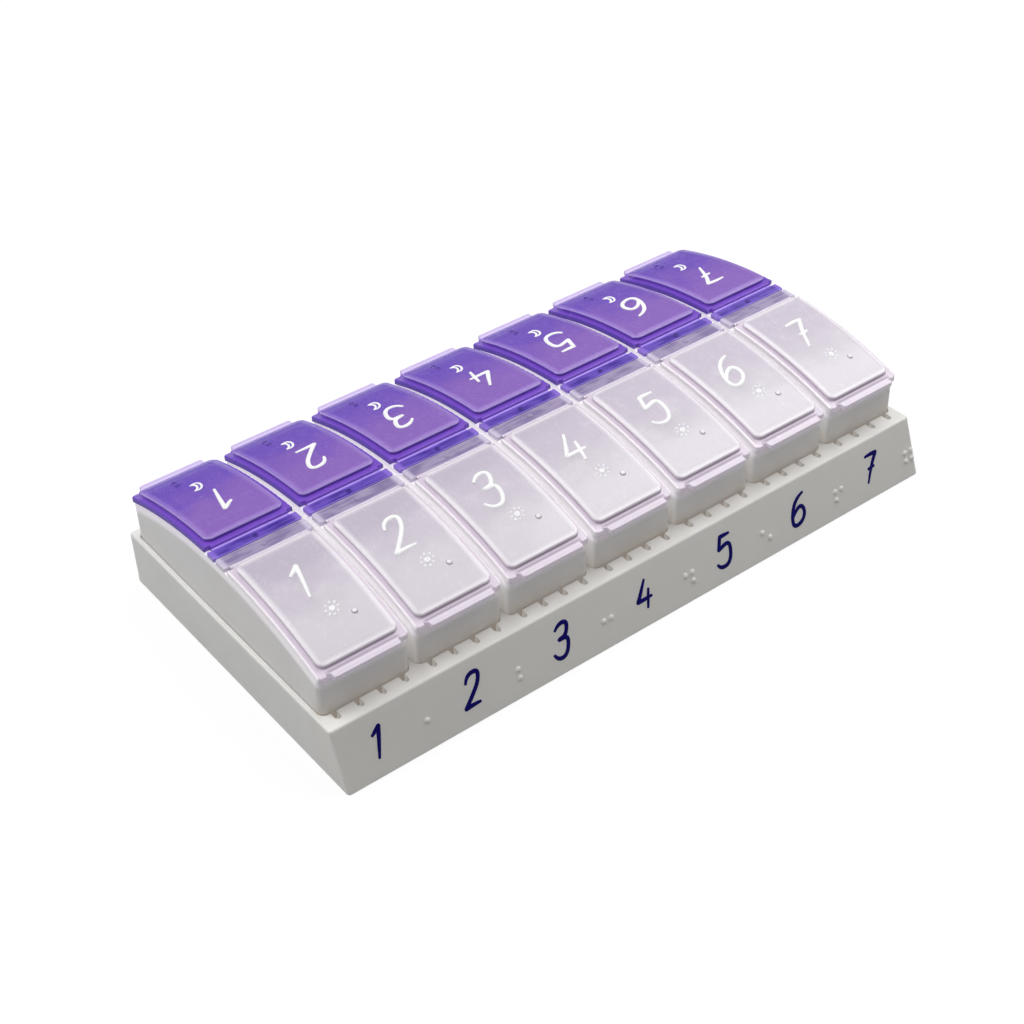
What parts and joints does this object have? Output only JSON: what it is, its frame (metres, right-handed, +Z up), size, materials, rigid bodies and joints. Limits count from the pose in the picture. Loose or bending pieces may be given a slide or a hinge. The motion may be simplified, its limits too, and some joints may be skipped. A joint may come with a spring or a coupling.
{
  "type": "weekly pill organizer",
  "caption": "Weekly pill organizer: a white tray of lift-out day boxes, each with a clear front lid and a violet back lid on film hinges over two compartments.",
  "frame": {"origin": "under the middle of the tray's foot, at the surface it stands on", "axes": "+X along the row of days from the first to the last, +Y from the leaning front face to the back, +Z up"},
  "size_m": [0.197, 0.1023, 0.038],
  "materials": {
    "white_tray": "satin white",
    "white_box": "satin white",
    "clear_front_lid": "clear, faint lavender tint",
    "violet_back_lid": "translucent violet"
  },
  "bodies": {
    "tray": {"tray": "white_tray"},
    "day_box_1": {"day_box_1": "white_box", "am_anchor_bar_1": "clear_front_lid", "am_film_hinge_1": "clear_front_lid", "pm_anchor_bar_1": "violet_back_lid", "pm_film_hinge_1": "violet_back_lid"},
    "am_lid_1": {"am_lid_1": "clear_front_lid"},
    "pm_lid_1": {"pm_lid_1": "violet_back_lid"},
    "day_box_2": {"day_box_2": "white_box", "am_anchor_bar_2": "clear_front_lid", "am_film_hinge_2": "clear_front_lid", "pm_anchor_bar_2": "violet_back_lid", "pm_film_hinge_2": "violet_back_lid"},
    "am_lid_2": {"am_lid_2": "clear_front_lid"},
    "pm_lid_2": {"pm_lid_2": "violet_back_lid"},
    "day_box_3": {"day_box_3": "white_box", "am_anchor_bar_3": "clear_front_lid", "am_film_hinge_3": "clear_front_lid", "pm_anchor_bar_3": "violet_back_lid", "pm_film_hinge_3": "violet_back_lid"},
    "am_lid_3": {"am_lid_3": "clear_front_lid"},
    "pm_lid_3": {"pm_lid_3": "violet_back_lid"},
    "day_box_4": {"day_box_4": "white_box", "am_anchor_bar_4": "clear_front_lid", "am_film_hinge_4": "clear_front_lid", "pm_anchor_bar_4": "violet_back_lid", "pm_film_hinge_4": "violet_back_lid"},
    "am_lid_4": {"am_lid_4": "clear_front_lid"},
    "pm_lid_4": {"pm_lid_4": "violet_back_lid"},
    "day_box_5": {"day_box_5": "white_box", "am_anchor_bar_5": "clear_front_lid", "am_film_hinge_5": "clear_front_lid", "pm_anchor_bar_5": "violet_back_lid", "pm_film_hinge_5": "violet_back_lid"},
    "am_lid_5": {"am_lid_5": "clear_front_lid"},
    "pm_lid_5": {"pm_lid_5": "violet_back_lid"},
    "day_box_6": {"day_box_6": "white_box", "am_anchor_bar_6": "clear_front_lid", "am_film_hinge_6": "clear_front_lid", "pm_anchor_bar_6": "violet_back_lid", "pm_film_hinge_6": "violet_back_lid"},
    "am_lid_6": {"am_lid_6": "clear_front_lid"},
    "pm_lid_6": {"pm_lid_6": "violet_back_lid"},
    "day_box_7": {"day_box_7": "white_box", "am_anchor_bar_7": "clear_front_lid", "am_film_hinge_7": "clear_front_lid", "pm_anchor_bar_7": "violet_back_lid", "pm_film_hinge_7": "violet_back_lid"},
    "am_lid_7": {"am_lid_7": "clear_front_lid"},
    "pm_lid_7": {"pm_lid_7": "violet_back_lid"}
  },
  "joints": [
    {"name": "box_1_lift", "type": "slide", "parent": "tray", "child": "day_box_1", "axis": [0, 0, 1], "range_m": [0, 0.045]},
    {"name": "am_lid_1_hinge", "type": "hinge", "parent": "day_box_1", "child": "am_lid_1", "pos_m": [-0.084, 0.0001, 0.03598], "axis": [-1, 0, 0], "range_deg": [0, 95], "deforming": ["am_film_hinge_1"]},
    {"name": "pm_lid_1_hinge", "type": "hinge", "parent": "day_box_1", "child": "pm_lid_1", "pos_m": [-0.084, 0.0088, 0.03598], "axis": [1, 0, 0], "range_deg": [0, 95], "deforming": ["pm_film_hinge_1"]},
    {"name": "box_2_lift", "type": "slide", "parent": "tray", "child": "day_box_2", "axis": [0, 0, 1], "range_m": [0, 0.045]},
    {"name": "am_lid_2_hinge", "type": "hinge", "parent": "day_box_2", "child": "am_lid_2", "pos_m": [-0.056, 0.0001, 0.03598], "axis": [-1, 0, 0], "range_deg": [0, 95], "deforming": ["am_film_hinge_2"]},
    {"name": "pm_lid_2_hinge", "type": "hinge", "parent": "day_box_2", "child": "pm_lid_2", "pos_m": [-0.056, 0.0088, 0.03598], "axis": [1, 0, 0], "range_deg": [0, 95], "deforming": ["pm_film_hinge_2"]},
    {"name": "box_3_lift", "type": "slide", "parent": "tray", "child": "day_box_3", "axis": [0, 0, 1], "range_m": [0, 0.045]},
    {"name": "am_lid_3_hinge", "type": "hinge", "parent": "day_box_3", "child": "am_lid_3", "pos_m": [-0.028, 0.0001, 0.03598], "axis": [-1, 0, 0], "range_deg": [0, 95], "deforming": ["am_film_hinge_3"]},
    {"name": "pm_lid_3_hinge", "type": "hinge", "parent": "day_box_3", "child": "pm_lid_3", "pos_m": [-0.028, 0.0088, 0.03598], "axis": [1, 0, 0], "range_deg": [0, 95], "deforming": ["pm_film_hinge_3"]},
    {"name": "box_4_lift", "type": "slide", "parent": "tray", "child": "day_box_4", "axis": [0, 0, 1], "range_m": [0, 0.045]},
    {"name": "am_lid_4_hinge", "type": "hinge", "parent": "day_box_4", "child": "am_lid_4", "pos_m": [0, 0.0001, 0.03598], "axis": [-1, 0, 0], "range_deg": [0, 95], "deforming": ["am_film_hinge_4"]},
    {"name": "pm_lid_4_hinge", "type": "hinge", "parent": "day_box_4", "child": "pm_lid_4", "pos_m": [0, 0.0088, 0.03598], "axis": [1, 0, 0], "range_deg": [0, 95], "deforming": ["pm_film_hinge_4"]},
    {"name": "box_5_lift", "type": "slide", "parent": "tray", "child": "day_box_5", "axis": [0, 0, 1], "range_m": [0, 0.045]},
    {"name": "am_lid_5_hinge", "type": "hinge", "parent": "day_box_5", "child": "am_lid_5", "pos_m": [0.028, 0.0001, 0.03598], "axis": [-1, 0, 0], "range_deg": [0, 95], "deforming": ["am_film_hinge_5"]},
    {"name": "pm_lid_5_hinge", "type": "hinge", "parent": "day_box_5", "child": "pm_lid_5", "pos_m": [0.028, 0.0088, 0.03598], "axis": [1, 0, 0], "range_deg": [0, 95], "deforming": ["pm_film_hinge_5"]},
    {"name": "box_6_lift", "type": "slide", "parent": "tray", "child": "day_box_6", "axis": [0, 0, 1], "range_m": [0, 0.045]},
    {"name": "am_lid_6_hinge", "type": "hinge", "parent": "day_box_6", "child": "am_lid_6", "pos_m": [0.056, 0.0001, 0.03598], "axis": [-1, 0, 0], "range_deg": [0, 95], "deforming": ["am_film_hinge_6"]},
    {"name": "pm_lid_6_hinge", "type": "hinge", "parent": "day_box_6", "child": "pm_lid_6", "pos_m": [0.056, 0.0088, 0.03598], "axis": [1, 0, 0], "range_deg": [0, 95], "deforming": ["pm_film_hinge_6"]},
    {"name": "box_7_lift", "type": "slide", "parent": "tray", "child": "day_box_7", "axis": [0, 0, 1], "range_m": [0, 0.045]},
    {"name": "am_lid_7_hinge", "type": "hinge", "parent": "day_box_7", "child": "am_lid_7", "pos_m": [0.084, 0.0001, 0.03598], "axis": [-1, 0, 0], "range_deg": [0, 95], "deforming": ["am_film_hinge_7"]},
    {"name": "pm_lid_7_hinge", "type": "hinge", "parent": "day_box_7", "child": "pm_lid_7", "pos_m": [0.084, 0.0088, 0.03598], "axis": [1, 0, 0], "range_deg": [0, 95], "deforming": ["pm_film_hinge_7"]}
  ]
}
